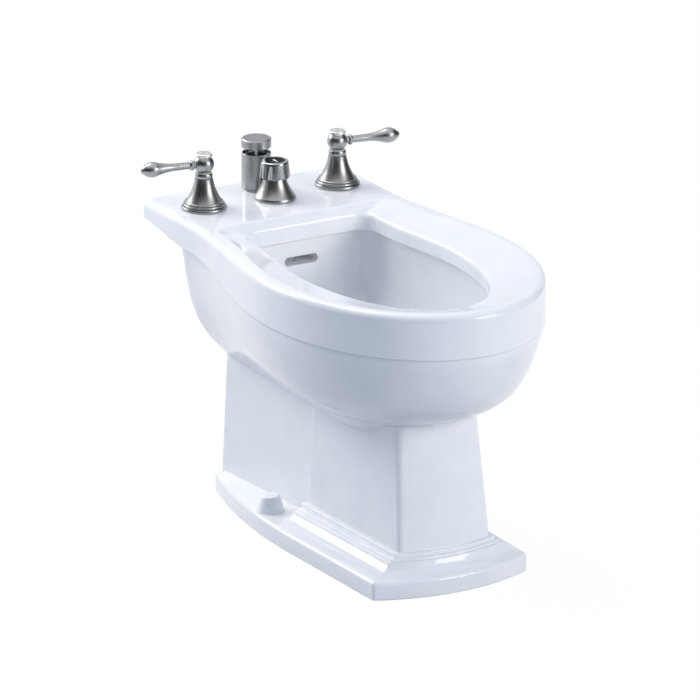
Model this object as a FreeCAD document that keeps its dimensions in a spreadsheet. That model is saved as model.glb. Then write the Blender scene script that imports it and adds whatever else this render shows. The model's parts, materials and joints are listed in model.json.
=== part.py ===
import FreeCAD, Part
import math
import os
import Sketcher
from types import SimpleNamespace

# Deck-mounted bidet in glazed china, with a hot tap, a cold tap, a diverter and a vacuum breaker.
# Row frame: X across, -Y towards the nose of the bowl, Z up, origin on the floor under the middle.

V = FreeCAD.Vector

SIZES = {
    # china: deck and rim
    "overall_length": 640.0,
    "deck_height": 400.0,
    "deck_width": 306.0,
    "deck_straight": 136.5,
    "deck_corner": 9.0,
    "deck_thickness": 16.0,
    "deck_back_depth": 22.0,
    "deck_side_depth": 39.0,
    "deck_side_at": 116.0,
    "deck_back_lip": 8.0,
    "rim_width": 368.0,
    "rim_nose": 247.0,
    "rim_depth": 60.0,
    "rim_level_to": 330.0,
    "rim_edge_round": 10.0,
    "rim_core_drop": 26.0,
    "crest_inset": 15.0,
    "crest_round": 5.0,
    "dish_drop": 14.0,
    "riser_run": 7.0,
    "china_wall": 12.0,
    "hollow_wall": 12.0,
    # china: opening in the rim, bowl below it, overflow
    "opening_width": 227.0,
    "opening_back_width": 194.0,
    "opening_nose": 207.0,
    "opening_front_margin": 68.5,
    "opening_back_margin": 169.5,
    "opening_corner": 24.0,
    "opening_round": 6.0,
    "lip_depth": 21.0,
    "bowl_depth": 180.0,
    "overflow_width": 50.0,
    "overflow_height": 12.0,
    "overflow_drop": 66.0,
    "overflow_depth": 20.0,
    "overflow_bore": 9.0,
    "overflow_wall": 5.0,
    # china: back, column, web and foot
    "back_setback": 72.5,
    "back_width": 270.0,
    "back_corner": 6.0,
    "belly_step": 3.0,
    "column_top_width": 119.0,
    "column_base_width": 138.0,
    "column_top_setback": 124.0,
    "column_base_setback": 105.0,
    "column_bulge": 12.0,
    "column_flare": 7.0,
    "column_back_at": 330.0,
    "column_top_height": 224.0,
    "column_into_belly": 41.0,
    "column_front_round": 9.0,
    "column_back_round": 3.0,
    "web_top_width": 126.0,
    "web_base_width": 144.0,
    "web_waist": 14.0,
    "web_hollow": 3.0,
    "web_top_height": 206.0,
    "web_into_belly": 23.0,
    "foot_height": 25.0,
    "foot_front_width": 232.0,
    "foot_middle_width": 241.0,
    "foot_back_width": 165.0,
    "foot_front_setback": 90.0,
    "foot_bulge": 27.0,
    "foot_round": 6.0,
    "moulding_height": 27.0,
    "moulding_past": 8.0,
    "moulding_ledge": 3.0,
    "moulding_round": 2.0,
    # floor bolt holes and their caps
    "floor_hole_spacing": 190.0,
    "floor_hole_setback": 66.0,
    "floor_hole_diameter": 13.0,
    "cap_base_diameter": 37.0,
    "cap_top_diameter": 20.0,
    "cap_height": 22.0,
    "cap_wall": 2.5,
    "cap_shoulder": 3.0,
    "retainer_height": 5.0,
    "retainer_bore": 18.0,
    "loose_fit": 0.3,
    "close_fit": 0.05,
    # deck holes, valves and what clamps them
    "tap_spread": 203.2,
    "tap_setback": 79.1,
    "diverter_setback": 89.6,
    "breaker_setback": 39.9,
    "deck_hole_diameter": 30.0,
    "shank_diameter": 24.0,
    "shank_above": 8.0,
    "washer_diameter": 37.0,
    "washer_thickness": 3.0,
    "nut_width": 36.0,
    "nut_height": 8.5,
    "thread_spare": 1.0,
    "flange_diameter": 36.0,
    "flange_height": 3.0,
    "block_diameter": 34.0,
    "block_height": 30.0,
    "bonnet_diameter": 18.0,
    "supply_diameter": 20.6,
    "supply_length": 22.0,
    "supply_bore": 12.0,
    "supply_bore_depth": 38.0,
    "stem_diameter": 9.0,
    "stem_grip": 52.0,
    "port_diameter": 16.0,
    "port_reach": 28.0,
    # tap escutcheon, neck ring and handle
    "bell_base_ring": 58.5,
    "bell_base_ring_height": 4.5,
    "bell_second_ring": 53.6,
    "bell_second_ring_height": 3.5,
    "bell_third_ring": 50.0,
    "bell_third_ring_height": 2.8,
    "ring_bulge": 0.9,
    "bell_base_diameter": 47.6,
    "bell_top_diameter": 23.8,
    "bell_height": 42.0,
    "bell_hollow": 1.8,
    "bell_wall": 2.0,
    "neck_ring_diameter": 21.6,
    "neck_ring_height": 7.0,
    "glide_diameter": 19.0,
    "glide_thickness": 1.2,
    "hub_gap": 0.4,
    "hub_base_diameter": 17.0,
    "hub_top_diameter": 18.0,
    "hub_height": 20.5,
    "hub_bulge": 4.8,
    "lever_height": 10.5,
    "lever_turn": 9.0,        # degrees
    "lever_root": 9.5,
    "lever_neck_diameter": 9.2,
    "bead_start": 14.6,
    "bead_length": 6.2,
    "bead_bulge": 2.6,
    "shaft_end": 36.0,
    "shaft_end_diameter": 10.0,
    "flare_end": 66.5,
    "flare_end_diameter": 18.6,
    "flare_bulge": 1.4,
    "bulb_end": 85.0,
    "bulb_end_diameter": 9.9,
    "bulb_bulge": 2.8,
    "nub_length": 2.5,
    "nub_bulge": 1.2,
    "stem_hole_depth": 14.0,
    "index_tail_diameter": 12.0,
    "index_tail": 4.0,
    "index_neck": 1.0,
    "index_diameter": 22.5,
    "index_thickness": 3.8,
    "index_edge": 0.8,
    "set_screw_diameter": 3.3,
    "set_screw_length": 5.5,
    "set_screw_socket": 1.7,
    # vacuum breaker
    "breaker_diameter": 39.6,
    "breaker_shell_height": 51.0,
    "breaker_shell_wall": 1.5,
    "breaker_plinth": 2.0,
    "breaker_plinth_inset": 1.4,
    "breaker_cup_floor": 12.0,
    "breaker_cup_top": 48.0,
    "breaker_cup_diameter": 33.0,
    "breaker_way": 10.0,
    "breaker_air_gap": 8.0,
    "breaker_cap_diameter": 40.0,
    "breaker_cap_height": 12.0,
    "breaker_cap_chamfer": 1.4,
    "breaker_post_diameter": 4.6,
    "float_thickness": 5.0,
    "float_stem_length": 10.0,
    "float_play": 0.5,
    # diverter
    "cone_base_diameter": 55.5,
    "cone_foot_height": 6.0,
    "cone_foot_bulge": 0.8,
    "cone_shoulder_diameter": 52.5,
    "cone_top_diameter": 30.0,
    "cone_height": 29.0,
    "cone_hollow": 1.2,
    "collar_diameter": 24.0,
    "collar_height": 3.0,
    "knob_above": 30.5,
    "knob_base_diameter": 41.5,
    "knob_top_diameter": 37.0,
    "knob_height": 22.5,
    "knob_edge": 2.0,
    "knob_recess_diameter": 32.5,
    "knob_recess_depth": 3.0,
    "knob_stem_depth": 13.0,
    "flute_diameter": 11.0,
    "flute_depth": 2.4,
    "flute_top": 3.5,
    "marker_diameter": 27.0,
    "marker_recess": 1.6,
    "marker_thickness": 1.2,
    # drain and spray
    "drain_forward": 291.0,
    "drain_hole_diameter": 41.0,
    "drain_boss_diameter": 72.0,
    "drain_boss_depth": 24.0,
    "drain_body_diameter": 39.0,
    "drain_body_length": 70.0,
    "drain_bore": 31.0,
    "drain_flange_diameter": 56.0,
    "drain_flange_thickness": 2.6,
    "drain_seat_depth": 4.0,
    "drain_guide_height": 44.0,
    "drain_guide_thickness": 5.0,
    "drain_port_diameter": 9.0,
    "drain_port_circle": 20.6,
    "drain_gasket_diameter": 56.0,
    "drain_gasket_thickness": 4.0,
    "drain_nut_width": 60.0,
    "drain_nut_height": 9.0,
    "tail_diameter": 31.75,
    "tail_bore": 28.0,
    "tail_length": 98.0,
    "tail_grip": 22.0,
    "stopper_diameter": 46.0,
    "stopper_thickness": 2.5,
    "stopper_crown": 2.2,
    "stopper_stem_diameter": 8.0,
    "stopper_stem_length": 42.0,
    "spray_forward": 371.0,
    "spray_hole_diameter": 16.0,
    "spray_shank_diameter": 14.0,
    "spray_shank_length": 42.0,
    "spray_bore": 6.0,
    "spray_flange_diameter": 28.0,
    "spray_flange_height": 2.0,
    "spray_dome_diameter": 12.0,
    "spray_dome_height": 4.5,
    "spray_roof": 2.5,
    "spray_jet_diameter": 1.4,
    "spray_jet_circle": 3.8,
    "spray_gasket_diameter": 26.0,
    "spray_gasket_thickness": 3.0,
    "spray_nut_width": 25.0,
    "spray_nut_height": 8.0,
    # tubes under the deck
    "tube_diameter": 10.0,
    "tube_bore": 7.0,
    "spray_tube_drop": 64.0,
    "spray_tube_aside": 30.0,
    "spray_tube_low": 50.0,
    "rim_tube_aside": 56.0,
    "rim_socket_depth": 8.0,
}

# Belly of the china at stations below the deck: inset from the rim at the side, at the nose and at the back.
BELLY = [
    (20.0, 0.0, 0.0, 0.0),
    (57.0, 0.0, 0.0, 2.0),
    (90.0, 5.0, 7.0, 7.0),
    (127.0, 18.0, 23.0, 15.0),
    (155.0, 36.0, 47.0, 26.0),
    (175.0, 61.0, 84.0, 38.0),
    (195.0, 91.0, 134.0, 55.0),
    (217.0, 121.0, 174.0, 77.0),
]
# Bowl inside at stations given as shares of the way down from the lip to the floor:
# inset from the opening at the side, nose, back and back corners.
BOWL = [
    (0.0, -13.5, -13.5, -10.0, -11.0),
    (0.2414, -12.5, -10.5, -9.5, -10.0),
    (0.5172, -4.5, 5.5, -3.5, -1.0),
    (0.7586, 17.5, 45.0, 16.5, 21.0),
    (0.931, 49.0, 100.0, 48.0, 50.0),
    (1.0, 73.0, 138.0, 74.0, 72.0),
]
# Moulding between foot and column, as shares of the way from column to foot and of its height:
# a hollow slope, then two thin steps.
COVE = [
    (1.0, 0.0),
    (0.70, 0.19),
    (0.49, 0.42),
    (0.38, 0.68),
]
STEPS = [
    (0.30, 0.80),
    (0.14, 1.0),
]

for station, row in enumerate(BELLY):
    for word, value in zip(("drop", "side", "nose", "back"), row):
        SIZES[f"belly_{word}_{station}"] = value
for station, row in enumerate(BOWL):
    for word, value in zip(("share", "side", "nose", "back", "corner"), row):
        SIZES[f"bowl_{word}_{station}"] = value
for name, rows in (("cove", COVE), ("step", STEPS)):
    for station, row in enumerate(rows):
        for word, value in zip(("spread", "rise"), row):
            SIZES[f"{name}_{word}_{station}"] = value

doc = FreeCAD.newDocument("bidet")
sheet = doc.addObject("Spreadsheet::Sheet", "Sizes")
for line, (alias, value) in enumerate(SIZES.items(), start=1):
    sheet.set(f"A{line}", alias)
    sheet.set(f"B{line}", str(value))
    sheet.setAlias(f"B{line}", alias)
doc.recompute()


class Size:
    # A length: its value in millimetres and the sheet expression that gives it.
    def __init__(self, value, text):
        self.value = float(value)
        self.text = text

    def __add__(self, other):
        other = as_size(other)
        return Size(self.value + other.value, f"({self.text} + {other.text})")

    def __sub__(self, other):
        other = as_size(other)
        return Size(self.value - other.value, f"({self.text} - {other.text})")

    def __mul__(self, factor):
        return Size(self.value * factor, f"({self.text} * {factor})")

    def __truediv__(self, factor):
        return Size(self.value / factor, f"({self.text} / {factor})")


def as_size(length):
    return length if isinstance(length, Size) else Size(length, str(float(length)))


def bind(thing, name, length):
    thing.setExpression(name, as_size(length).text)


d = SimpleNamespace(**{alias: Size(sheet.get(alias), f"Sizes.{alias}") for alias in SIZES})
n = SimpleNamespace(**{alias: float(sheet.get(alias)) for alias in SIZES})

# Places that several pieces share.
back = d.overall_length / 2
tap_y = back - d.tap_setback
diverter_y = back - d.diverter_setback
breaker_y = back - d.breaker_setback
drain_y = back - d.drain_forward
spray_y = back - d.spray_forward
under_deck = d.deck_height - d.deck_thickness
block_top = under_deck - d.washer_thickness - d.nut_height - d.thread_spare
block_bottom = block_top - d.block_height
port_z = block_bottom + d.block_height / 2
shank_top = d.deck_height + d.shank_above
bowl_floor = d.deck_height - d.bowl_depth
bowl_under = bowl_floor - d.china_wall
drain_under = bowl_floor - d.drain_boss_depth
drain_bottom = bowl_floor - d.drain_body_length
spray_bottom = bowl_floor - d.spray_shank_length
link_reach = (breaker_y - diverter_y) / 2
floor_hole_y = d.column_back_at + d.floor_hole_setback - back

nodes = []


def keep(thing, label):
    thing.Label = label
    nodes.append(thing)
    return thing


def seat(thing, x, y, z, turn=None):
    if turn:
        thing.Placement = FreeCAD.Placement(V(0, 0, 0), FreeCAD.Rotation(*turn))
    for axis, length in zip("xyz", (x, y, z)):
        bind(thing, f"Placement.Base.{axis}", length)


def sketch_on(body, role, name):
    plane = next(f for f in body.Origin.OriginFeatures if f.Role == role)
    sketch = body.newObject("Sketcher::SketchObject", name)
    sketch.AttachmentSupport = [(plane, "")]
    sketch.MapMode = "FlatFace"
    return sketch


def dimension(sketch, kind, ends, length):
    number = sketch.addConstraint(Sketcher.Constraint(kind, *ends, length.value))
    bind(sketch, f"Constraints[{number}]", length)


def fix_point(sketch, piece, end, x, y, mirrored=False):
    if x.value == 0:
        sketch.addConstraint(Sketcher.Constraint("PointOnObject", piece, end, -2))
    else:
        ends = (piece, end, -1, 1) if mirrored else (-1, 1, piece, end)
        dimension(sketch, "DistanceX", ends, x)
    if y.value == 0:
        sketch.addConstraint(Sketcher.Constraint("PointOnObject", piece, end, -1))
    else:
        dimension(sketch, "DistanceY", (-1, 1, piece, end), y)


def draw(sketch, corners, mirrored=False):
    # Closed outline through (x, y) corners. A third and fourth entry make the way to that corner an arc:
    # its bulge, and +1 where it turns to the left or -1 where it turns to the right.
    sign = -1 if mirrored else 1
    sizes = [(as_size(c[0]), as_size(c[1])) for c in corners]
    points = [V(sign * x.value, y.value, 0) for x, y in sizes]
    pieces = []
    for i, corner in enumerate(corners):
        start, end = points[i - 1], points[i]
        if len(corner) == 2:
            number = sketch.addGeometry(Part.LineSegment(start, end))
            pieces.append((number, 1, 2))
            continue
        bulge, turn = as_size(corner[2]), corner[3] * sign
        chord = end - start
        radius = (chord.Length**2 / 4 + bulge.value**2) / (2 * bulge.value)
        left = V(-chord.y, chord.x, 0).normalize()
        centre = (start + end) * 0.5 + left * turn * (radius - bulge.value)
        angles = [math.atan2(p.y - centre.y, p.x - centre.x) for p in (start, end)]
        circle = Part.Circle(centre, V(0, 0, 1), radius)
        number = sketch.addGeometry(Part.ArcOfCircle(circle, *angles[::turn]))
        pieces.append((number, 1, 2) if turn > 0 else (number, 2, 1))
        (x0, y0), (x1, y1) = sizes[i - 1], sizes[i]
        span = f"(({x1.text} - {x0.text})^2 + ({y1.text} - {y0.text})^2)"
        text = f"({span} / 4 + {bulge.text}^2) / (2 * {bulge.text})"
        dimension(sketch, "Radius", (number,), Size(radius, text))
    for i, (number, _, last) in enumerate(pieces):
        after = pieces[(i + 1) % len(pieces)]
        sketch.addConstraint(Sketcher.Constraint("Coincident", number, last, after[0], after[1]))
        fix_point(sketch, number, last, *sizes[i], mirrored)


def turned(label, corners):
    # Piece turned about its own vertical axis from a (radius, height) outline.
    body = keep(doc.addObject("PartDesign::Body", label), label)
    sketch = sketch_on(body, "XZ_Plane", label + "_outline")
    draw(sketch, corners)
    turning = body.newObject("PartDesign::Revolution", label + "_turning")
    turning.Profile = sketch
    turning.ReferenceAxis = (sketch, ["V_Axis"])
    turning.Angle = 360
    return body


def turn_across(body, name, corners, height, role="XZ_Plane", mirrored=False, kind="Revolution"):
    # Arm, port or bore turned about a level axis at this height, from a (reach, radius) outline.
    sketch = sketch_on(body, role, name + "_outline")
    axis = sketch.addGeometry(Part.LineSegment(V(0, height.value, 0), V(1, height.value, 0)), True)
    fix_point(sketch, axis, 1, as_size(0), height)
    sketch.addConstraint(Sketcher.Constraint("Horizontal", axis))
    sketch.addConstraint(Sketcher.Constraint("DistanceX", axis, 1, axis, 2, 1.0))
    draw(sketch, [(c[0], height + c[1], *c[2:]) for c in corners], mirrored)
    turning = body.newObject("PartDesign::" + kind, name)
    turning.Profile = sketch
    turning.ReferenceAxis = (sketch, ["Axis0"])
    turning.Angle = 360


def round_cut(body, name, role, x, y, diameter, length=None, up=True):
    # Round pocket from one of the body's origin planes, right through or to a depth.
    sketch = sketch_on(body, role, name + "_outline")
    circle = sketch.addGeometry(Part.Circle(V(x.value, y.value, 0), V(0, 0, 1), diameter.value / 2))
    fix_point(sketch, circle, 3, x, y)
    dimension(sketch, "Radius", (circle,), diameter / 2)
    pocket = body.newObject("PartDesign::Pocket", name)
    pocket.Profile = sketch
    pocket.Reversed = up
    if length is None:
        pocket.Type = "ThroughAll"
    else:
        bind(pocket, "Length", length)
    return pocket


def around(body, feature, name, count):
    pattern = body.newObject("PartDesign::PolarPattern", name)
    pattern.Originals = [feature]
    pattern.Axis = (feature.Profile[0], ["N_Axis"])
    pattern.Angle = 360
    pattern.Occurrences = count
    body.Tip = pattern


def ring(label, bore, diameter, height, x, y, z):
    body = turned(label, [(bore / 2, 0), (diameter / 2, 0), (diameter / 2, height), (bore / 2, height)])
    seat(body, x, y, z)
    return body


def hex_nut(label, width, height, bore, x, y, z):
    prism = doc.addObject("Part::Prism", label + "_blank")
    prism.Polygon = 6
    bind(prism, "Circumradius", width / 2)
    bind(prism, "Height", height)
    hole = doc.addObject("Part::Cylinder", label + "_thread")
    bind(hole, "Radius", bore / 2)
    bind(hole, "Height", height)
    nut = keep(doc.addObject("Part::Cut", label), label)
    nut.Base = prism
    nut.Tool = hole
    seat(nut, x, y, z)
    return nut


def solid(label, shape):
    feature = keep(doc.addObject("Part::Feature", label), label)
    feature.Shape = shape
    return feature


# China outlines: level closed curves with a straight back, swelling sides and an elliptical nose.

def half_turn(centre_y, half, nose, z):
    centre, tip, side = V(0, centre_y, z), V(0, centre_y - nose, z), V(half, centre_y, z)
    if half > nose:
        return Part.Ellipse(side, tip, centre).toShape(0, math.pi)
    return Part.Ellipse(tip, side, centre).toShape(-math.pi / 2, math.pi / 2)


def egg(z, back_y, back_half, corner, side_half, side_y, nose, straight=0.0):
    flat = back_half - corner
    cut = corner * (1 - math.sqrt(0.5))
    top = back_y - corner
    low = min(top, back_y - straight) if straight else top
    pull = (low - side_y) / 3
    edges = [Part.LineSegment(V(-flat, back_y, z), V(flat, back_y, z)).toShape()]
    nose_edge = half_turn(side_y, side_half, nose, z)
    for sign in (1, -1):
        arc = Part.Arc(
            V(sign * flat, back_y, z),
            V(sign * (back_half - cut), back_y - cut, z),
            V(sign * back_half, top, z),
        )
        flank = [arc.toShape()]
        if straight:
            upright = Part.LineSegment(V(sign * back_half, top, z), V(sign * back_half, low, z))
            flank.append(upright.toShape())
        swell = Part.BezierCurve()
        swell.setPoles([
            V(sign * back_half, low, z),
            V(sign * back_half, low - pull, z),
            V(sign * side_half, side_y + pull, z),
            V(sign * side_half, side_y, z),
        ])
        flank.append(swell.toShape())
        edges += flank + [nose_edge] if sign > 0 else flank[::-1]
    return Part.Wire(edges)


def prism(wire, height):
    return Part.Face(wire).extrude(V(0, 0, height))


def box(x0, x1, y0, y1, z0, z1):
    return Part.makeBox(x1 - x0, y1 - y0, z1 - z0, V(x0, y0, z0))


def drill(x, y, z, diameter, length, axis=V(0, 0, 1)):
    return Part.makeCylinder(diameter / 2, length, V(x, y, z), axis)


def edges_at(shape, z, slack=0.01):
    return [e for e in shape.Edges if all(abs(v.Z - z) < slack for v in e.Vertexes)
            and abs(e.BoundBox.ZMax - z) < slack and abs(e.BoundBox.ZMin - z) < slack]


back_edge = n.overall_length / 2
front_edge = -n.overall_length / 2
rim_half = n.rim_width / 2
rim_y = front_edge + n.rim_nose
back_plane = back_edge - n.back_setback
past = 1.0
opening_back = back_edge - n.opening_back_margin
opening_y = front_edge + n.opening_front_margin + n.opening_nose
dish_z = n.deck_height - n.dish_drop
lip_z = dish_z - n.lip_depth
neck_margin = n.china_wall - n.bowl_side_0
chamber_front = opening_back + neck_margin
belly_low = n.deck_height - getattr(n, f"belly_drop_{len(BELLY) - 1}")
column_top = belly_low + n.column_into_belly
web_top = belly_low + n.web_into_belly


def rim_and_deck():
    # Slab of deck and rim: its underside is level round the nose and sweeps up along the sides to the deck.
    deep = max(n.rim_depth, n.deck_side_depth) + past
    outline = egg(n.deck_height - deep, back_edge, n.deck_width / 2, n.deck_corner, rim_half, rim_y,
                  n.rim_nose, n.deck_straight)
    slab = prism(outline, deep)
    low = n.deck_height - n.rim_depth
    side = V(0, back_edge - n.deck_side_at, n.deck_height - n.deck_side_depth)
    level = V(0, front_edge + n.rim_level_to, low)
    pull = V(0, (side.y - level.y) / 2, 0)
    sweep = Part.BezierCurve()
    sweep.setPoles([level, level + pull, side - pull, side])
    rise = V(0, back_edge + past, n.deck_height - n.deck_back_depth)
    roof = n.deck_height + past
    path = [Part.LineSegment(V(0, front_edge - past, low), level).toShape(), sweep.toShape()]
    outside = [side, rise, V(0, rise.y, roof), V(0, front_edge - past, roof), V(0, front_edge - past, low)]
    path += [Part.LineSegment(a, b).toShape() for a, b in zip(outside, outside[1:])]
    above = Part.Face(Part.Wire(path)).extrude(V(2 * (rim_half + past), 0, 0))
    above.translate(V(-rim_half - past, 0, 0))
    slab = slab.common(above)
    return slab.makeFillet(n.rim_edge_round, edges_at(slab, n.deck_height))


def opening_wire(z, margin=0.0):
    return egg(z, opening_back + margin, n.opening_back_width / 2 + margin, n.opening_corner + margin,
               n.opening_width / 2 + margin, opening_y, n.opening_nose + margin)


def dish():
    # Space above the dished rim: a riser up to the deck behind, and a long slope up to the crest elsewhere.
    crest_half = rim_half - n.crest_inset
    crest_back = n.deck_width / 2 - n.crest_inset
    crest = egg(n.deck_height, opening_back + n.riser_run, crest_back, n.opening_corner, crest_half, rim_y,
                n.rim_nose - n.crest_inset)
    return Part.makeLoft([opening_wire(dish_z), crest], True, True)


def belly(inset, rear):
    wires = []
    for i in range(len(BELLY)):
        words = ("drop", "side", "nose", "back")
        drop, side, nose, back_in = (getattr(n, f"belly_{word}_{i}") for word in words)
        wires.append(egg(
            n.deck_height - drop, rear, n.back_width / 2 - back_in - inset, n.back_corner,
            rim_half - n.belly_step - side - inset, rim_y, n.rim_nose - n.belly_step - nose - inset))
    return Part.makeLoft(wires, True, False)


def bowl(wall):
    wires = []
    for i in range(len(BOWL)):
        words = ("share", "side", "nose", "back", "corner")
        share, side, nose, back_in, corner = (getattr(n, f"bowl_{word}_{i}") for word in words)
        wires.append(egg(
            lip_z - share * (lip_z - bowl_floor.value) - wall, opening_back - back_in + wall,
            n.opening_back_width / 2 - corner + wall, n.opening_corner - corner / 4 + wall,
            n.opening_width / 2 - side + wall, opening_y, n.opening_nose - nose + wall))
    return Part.makeLoft(wires, True, False)


def column_wire(z, inset, rear_past=0.0):
    # Section of the column: a bowed front and sides that spread a little to the back.
    base_z = n.foot_height + n.moulding_height
    share = (z - base_z) / (n.column_top_height - base_z)
    half = (n.column_base_width + share * (n.column_top_width - n.column_base_width)) / 2 - inset
    lean = n.column_top_setback - n.column_base_setback
    front = front_edge + n.column_base_setback + share * lean + inset
    rear = front_edge + n.column_back_at + rear_past
    wide = half + n.column_flare
    bow = Part.Arc(V(-half, front, z), V(0, front - n.column_bulge, z), V(half, front, z))
    sides = [V(half, front, z), V(wide, rear, z), V(-wide, rear, z), V(-half, front, z)]
    return Part.Wire([bow.toShape()] + [Part.LineSegment(a, b).toShape() for a, b in zip(sides, sides[1:])])


def web_wire(z, inset, rear, front):
    # Section of the web behind the column, drawn in towards the column by hollow sides.
    share = (z - n.foot_height) / (n.web_top_height - n.foot_height)
    wide = (n.web_base_width + share * (n.web_top_width - n.web_base_width)) / 2 - inset
    slim = wide - n.web_waist
    middle = (wide + slim) / 2 - n.web_hollow
    edges = [Part.LineSegment(V(-wide, rear, z), V(wide, rear, z)).toShape()]
    edges.append(Part.Arc(V(wide, rear, z), V(middle, (rear + front) / 2, z), V(slim, front, z)).toShape())
    edges.append(Part.LineSegment(V(slim, front, z), V(-slim, front, z)).toShape())
    edges.append(Part.Arc(V(-slim, front, z), V(-middle, (rear + front) / 2, z), V(-wide, rear, z)).toShape())
    return Part.Wire(edges)


def foot():
    # Floor plate: bowed front, nearly straight sides and a back that draws in.
    front = front_edge + n.foot_front_setback
    half = n.foot_front_width / 2
    wide = n.foot_middle_width / 2
    slim = n.foot_back_width / 2
    quarter = wide - (wide - slim) / 4
    edges = [Part.Arc(V(-half, front, 0), V(0, front - n.foot_bulge, 0), V(half, front, 0)).toShape()]
    edges.append(Part.LineSegment(V(half, front, 0), V(wide, 0, 0)).toShape())
    edges.append(Part.Arc(V(wide, 0, 0), V(quarter, back_plane / 2, 0), V(slim, back_plane, 0)).toShape())
    edges.append(Part.LineSegment(V(slim, back_plane, 0), V(-slim, back_plane, 0)).toShape())
    edges.append(Part.Arc(V(-slim, back_plane, 0), V(-quarter, back_plane / 2, 0), V(-wide, 0, 0)).toShape())
    edges.append(Part.LineSegment(V(-wide, 0, 0), V(-half, front, 0)).toShape())
    plate = prism(Part.Wire(edges), n.foot_height)
    front_corners = [e for e in plate.Edges if abs(e.BoundBox.ZLength - n.foot_height) < 0.01
                     and abs(e.BoundBox.YMin - front) < 0.01]
    plate = plate.makeFillet(n.foot_round, front_corners)
    return plate.makeFillet(n.foot_round, edges_at(plate, n.foot_height))


def moulding_wire(spread, z):
    half = n.column_base_width / 2
    wide = half + n.column_flare
    foot_front = n.foot_front_setback + n.moulding_ledge
    front = front_edge + n.column_base_setback + spread * (foot_front - n.column_base_setback)
    bulge = n.column_bulge + spread * (n.foot_bulge - n.column_bulge)
    half += spread * (n.foot_front_width / 2 - n.moulding_ledge - half)
    wide += spread * (n.foot_middle_width / 2 - n.moulding_ledge - wide)
    rear = front_edge + n.column_back_at + n.moulding_past
    bow = Part.Arc(V(-half, front, z), V(0, front - bulge, z), V(half, front, z))
    sides = [V(half, front, z), V(wide, rear, z), V(-wide, rear, z), V(-half, front, z)]
    return Part.Wire([bow.toShape()] + [Part.LineSegment(a, b).toShape() for a, b in zip(sides, sides[1:])])


def stations(name, count):
    return [(getattr(n, f"{name}_spread_{i}"), getattr(n, f"{name}_rise_{i}")) for i in range(count)]


def moulding():
    # Hollow slope from the foot up towards the column, then thin steps, each drawn in from the one below.
    low = n.foot_height - past
    tall = n.moulding_height + past
    cove = [moulding_wire(spread, low + rise * tall) for spread, rise in stations("cove", len(COVE))]
    pieces = [Part.makeLoft(cove, True, False)]
    for spread, rise in stations("step", len(STEPS)):
        step = prism(moulding_wire(spread, n.foot_height / 2), n.foot_height / 2 + rise * n.moulding_height)
        pieces.append(step.makeFillet(n.moulding_round, edges_at(step, step.BoundBox.ZMax)))
    return pieces


def column():
    low, top = n.foot_height, column_top
    block = Part.makeLoft([column_wire(low, 0), column_wire(top, 0)], True, True)
    uprights = [e for e in block.Edges if e.BoundBox.ZLength > (top - low) / 2]
    front = [e for e in uprights if e.BoundBox.YMin < front_edge + n.column_back_at - past]
    block = block.makeFillet(n.column_front_round, front)
    rear = [e for e in block.Edges if e.BoundBox.ZLength > (top - low) / 2
            and e.BoundBox.YMin >= front_edge + n.column_back_at - past]
    return block.makeFillet(n.column_back_round, rear)


def web():
    front = front_edge + n.column_back_at - n.column_back_round * 2
    return Part.makeLoft([web_wire(z, 0, back_plane, front) for z in (past, web_top)], True, True)


def overflow_route():
    slot_z = n.deck_height - n.overflow_drop
    low = bowl_under.value + n.overflow_bore / 2 - past
    top = V(0, chamber_front + n.overflow_bore, slot_z)
    knee = V(0, opening_back - past, low)
    return top, knee, V(0, drain_y.value, low)


def duct(diameter):
    top, knee, end = overflow_route()
    pipe = Part.makeSphere(diameter / 2, knee)
    for a, b in ((top, knee), (knee, end)):
        pipe = pipe.fuse(Part.makeCylinder(diameter / 2, (b - a).Length, a, b - a))
    return pipe


def slot(depth_from, depth_to):
    z = n.deck_height - n.overflow_drop
    flat = (n.overflow_width - n.overflow_height) / 2
    cut = box(-flat, flat, depth_from, depth_to, z - n.overflow_height / 2, z + n.overflow_height / 2)
    for sign in (-1, 1):
        end = drill(sign * flat, depth_from, z, n.overflow_height, depth_to - depth_from, V(0, 1, 0))
        cut = cut.fuse(end)
    return cut.removeSplitter()


def hollow():
    # Room below and behind the bowl, open at the back and at the floor.
    chamber = box(-n.back_width / 2 + n.hollow_wall, n.back_width / 2 - n.hollow_wall, chamber_front,
                  back_edge - n.deck_back_lip, n.deck_height - n.rim_depth, under_deck.value)
    core = belly(n.hollow_wall, back_plane + past)
    core = core.common(box(-rim_half, rim_half, front_edge, back_edge, 0, n.deck_height - n.rim_core_drop))
    wall = n.hollow_wall
    shaft = Part.makeLoft([column_wire(z, wall, -wall) for z in (-past, column_top - wall)], True, True)
    front = front_edge + n.column_back_at - 2 * wall
    wires = [web_wire(z, wall, back_plane + past, front) for z in (-past, web_top)]
    passage = Part.makeLoft(wires, True, True)
    room = core.multiFuse([chamber, shaft, passage])
    boss = drill(0, drain_y.value, drain_under.value, n.drain_boss_diameter, n.drain_boss_depth)
    slot_back = chamber_front + n.overflow_depth
    slot_boss = box(-n.overflow_width / 2 - wall, n.overflow_width / 2 + wall, opening_back, slot_back,
                    n.deck_height - n.overflow_drop - wall, n.deck_height - n.overflow_drop + wall)
    pipe = duct(n.overflow_bore + 2 * n.overflow_wall)
    neck_low = lip_z - 2 * n.china_wall
    neck = prism(opening_wire(neck_low, neck_margin), n.deck_height - neck_low)
    return room.cut([bowl(n.china_wall), neck, boss, slot_boss, pipe])


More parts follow.
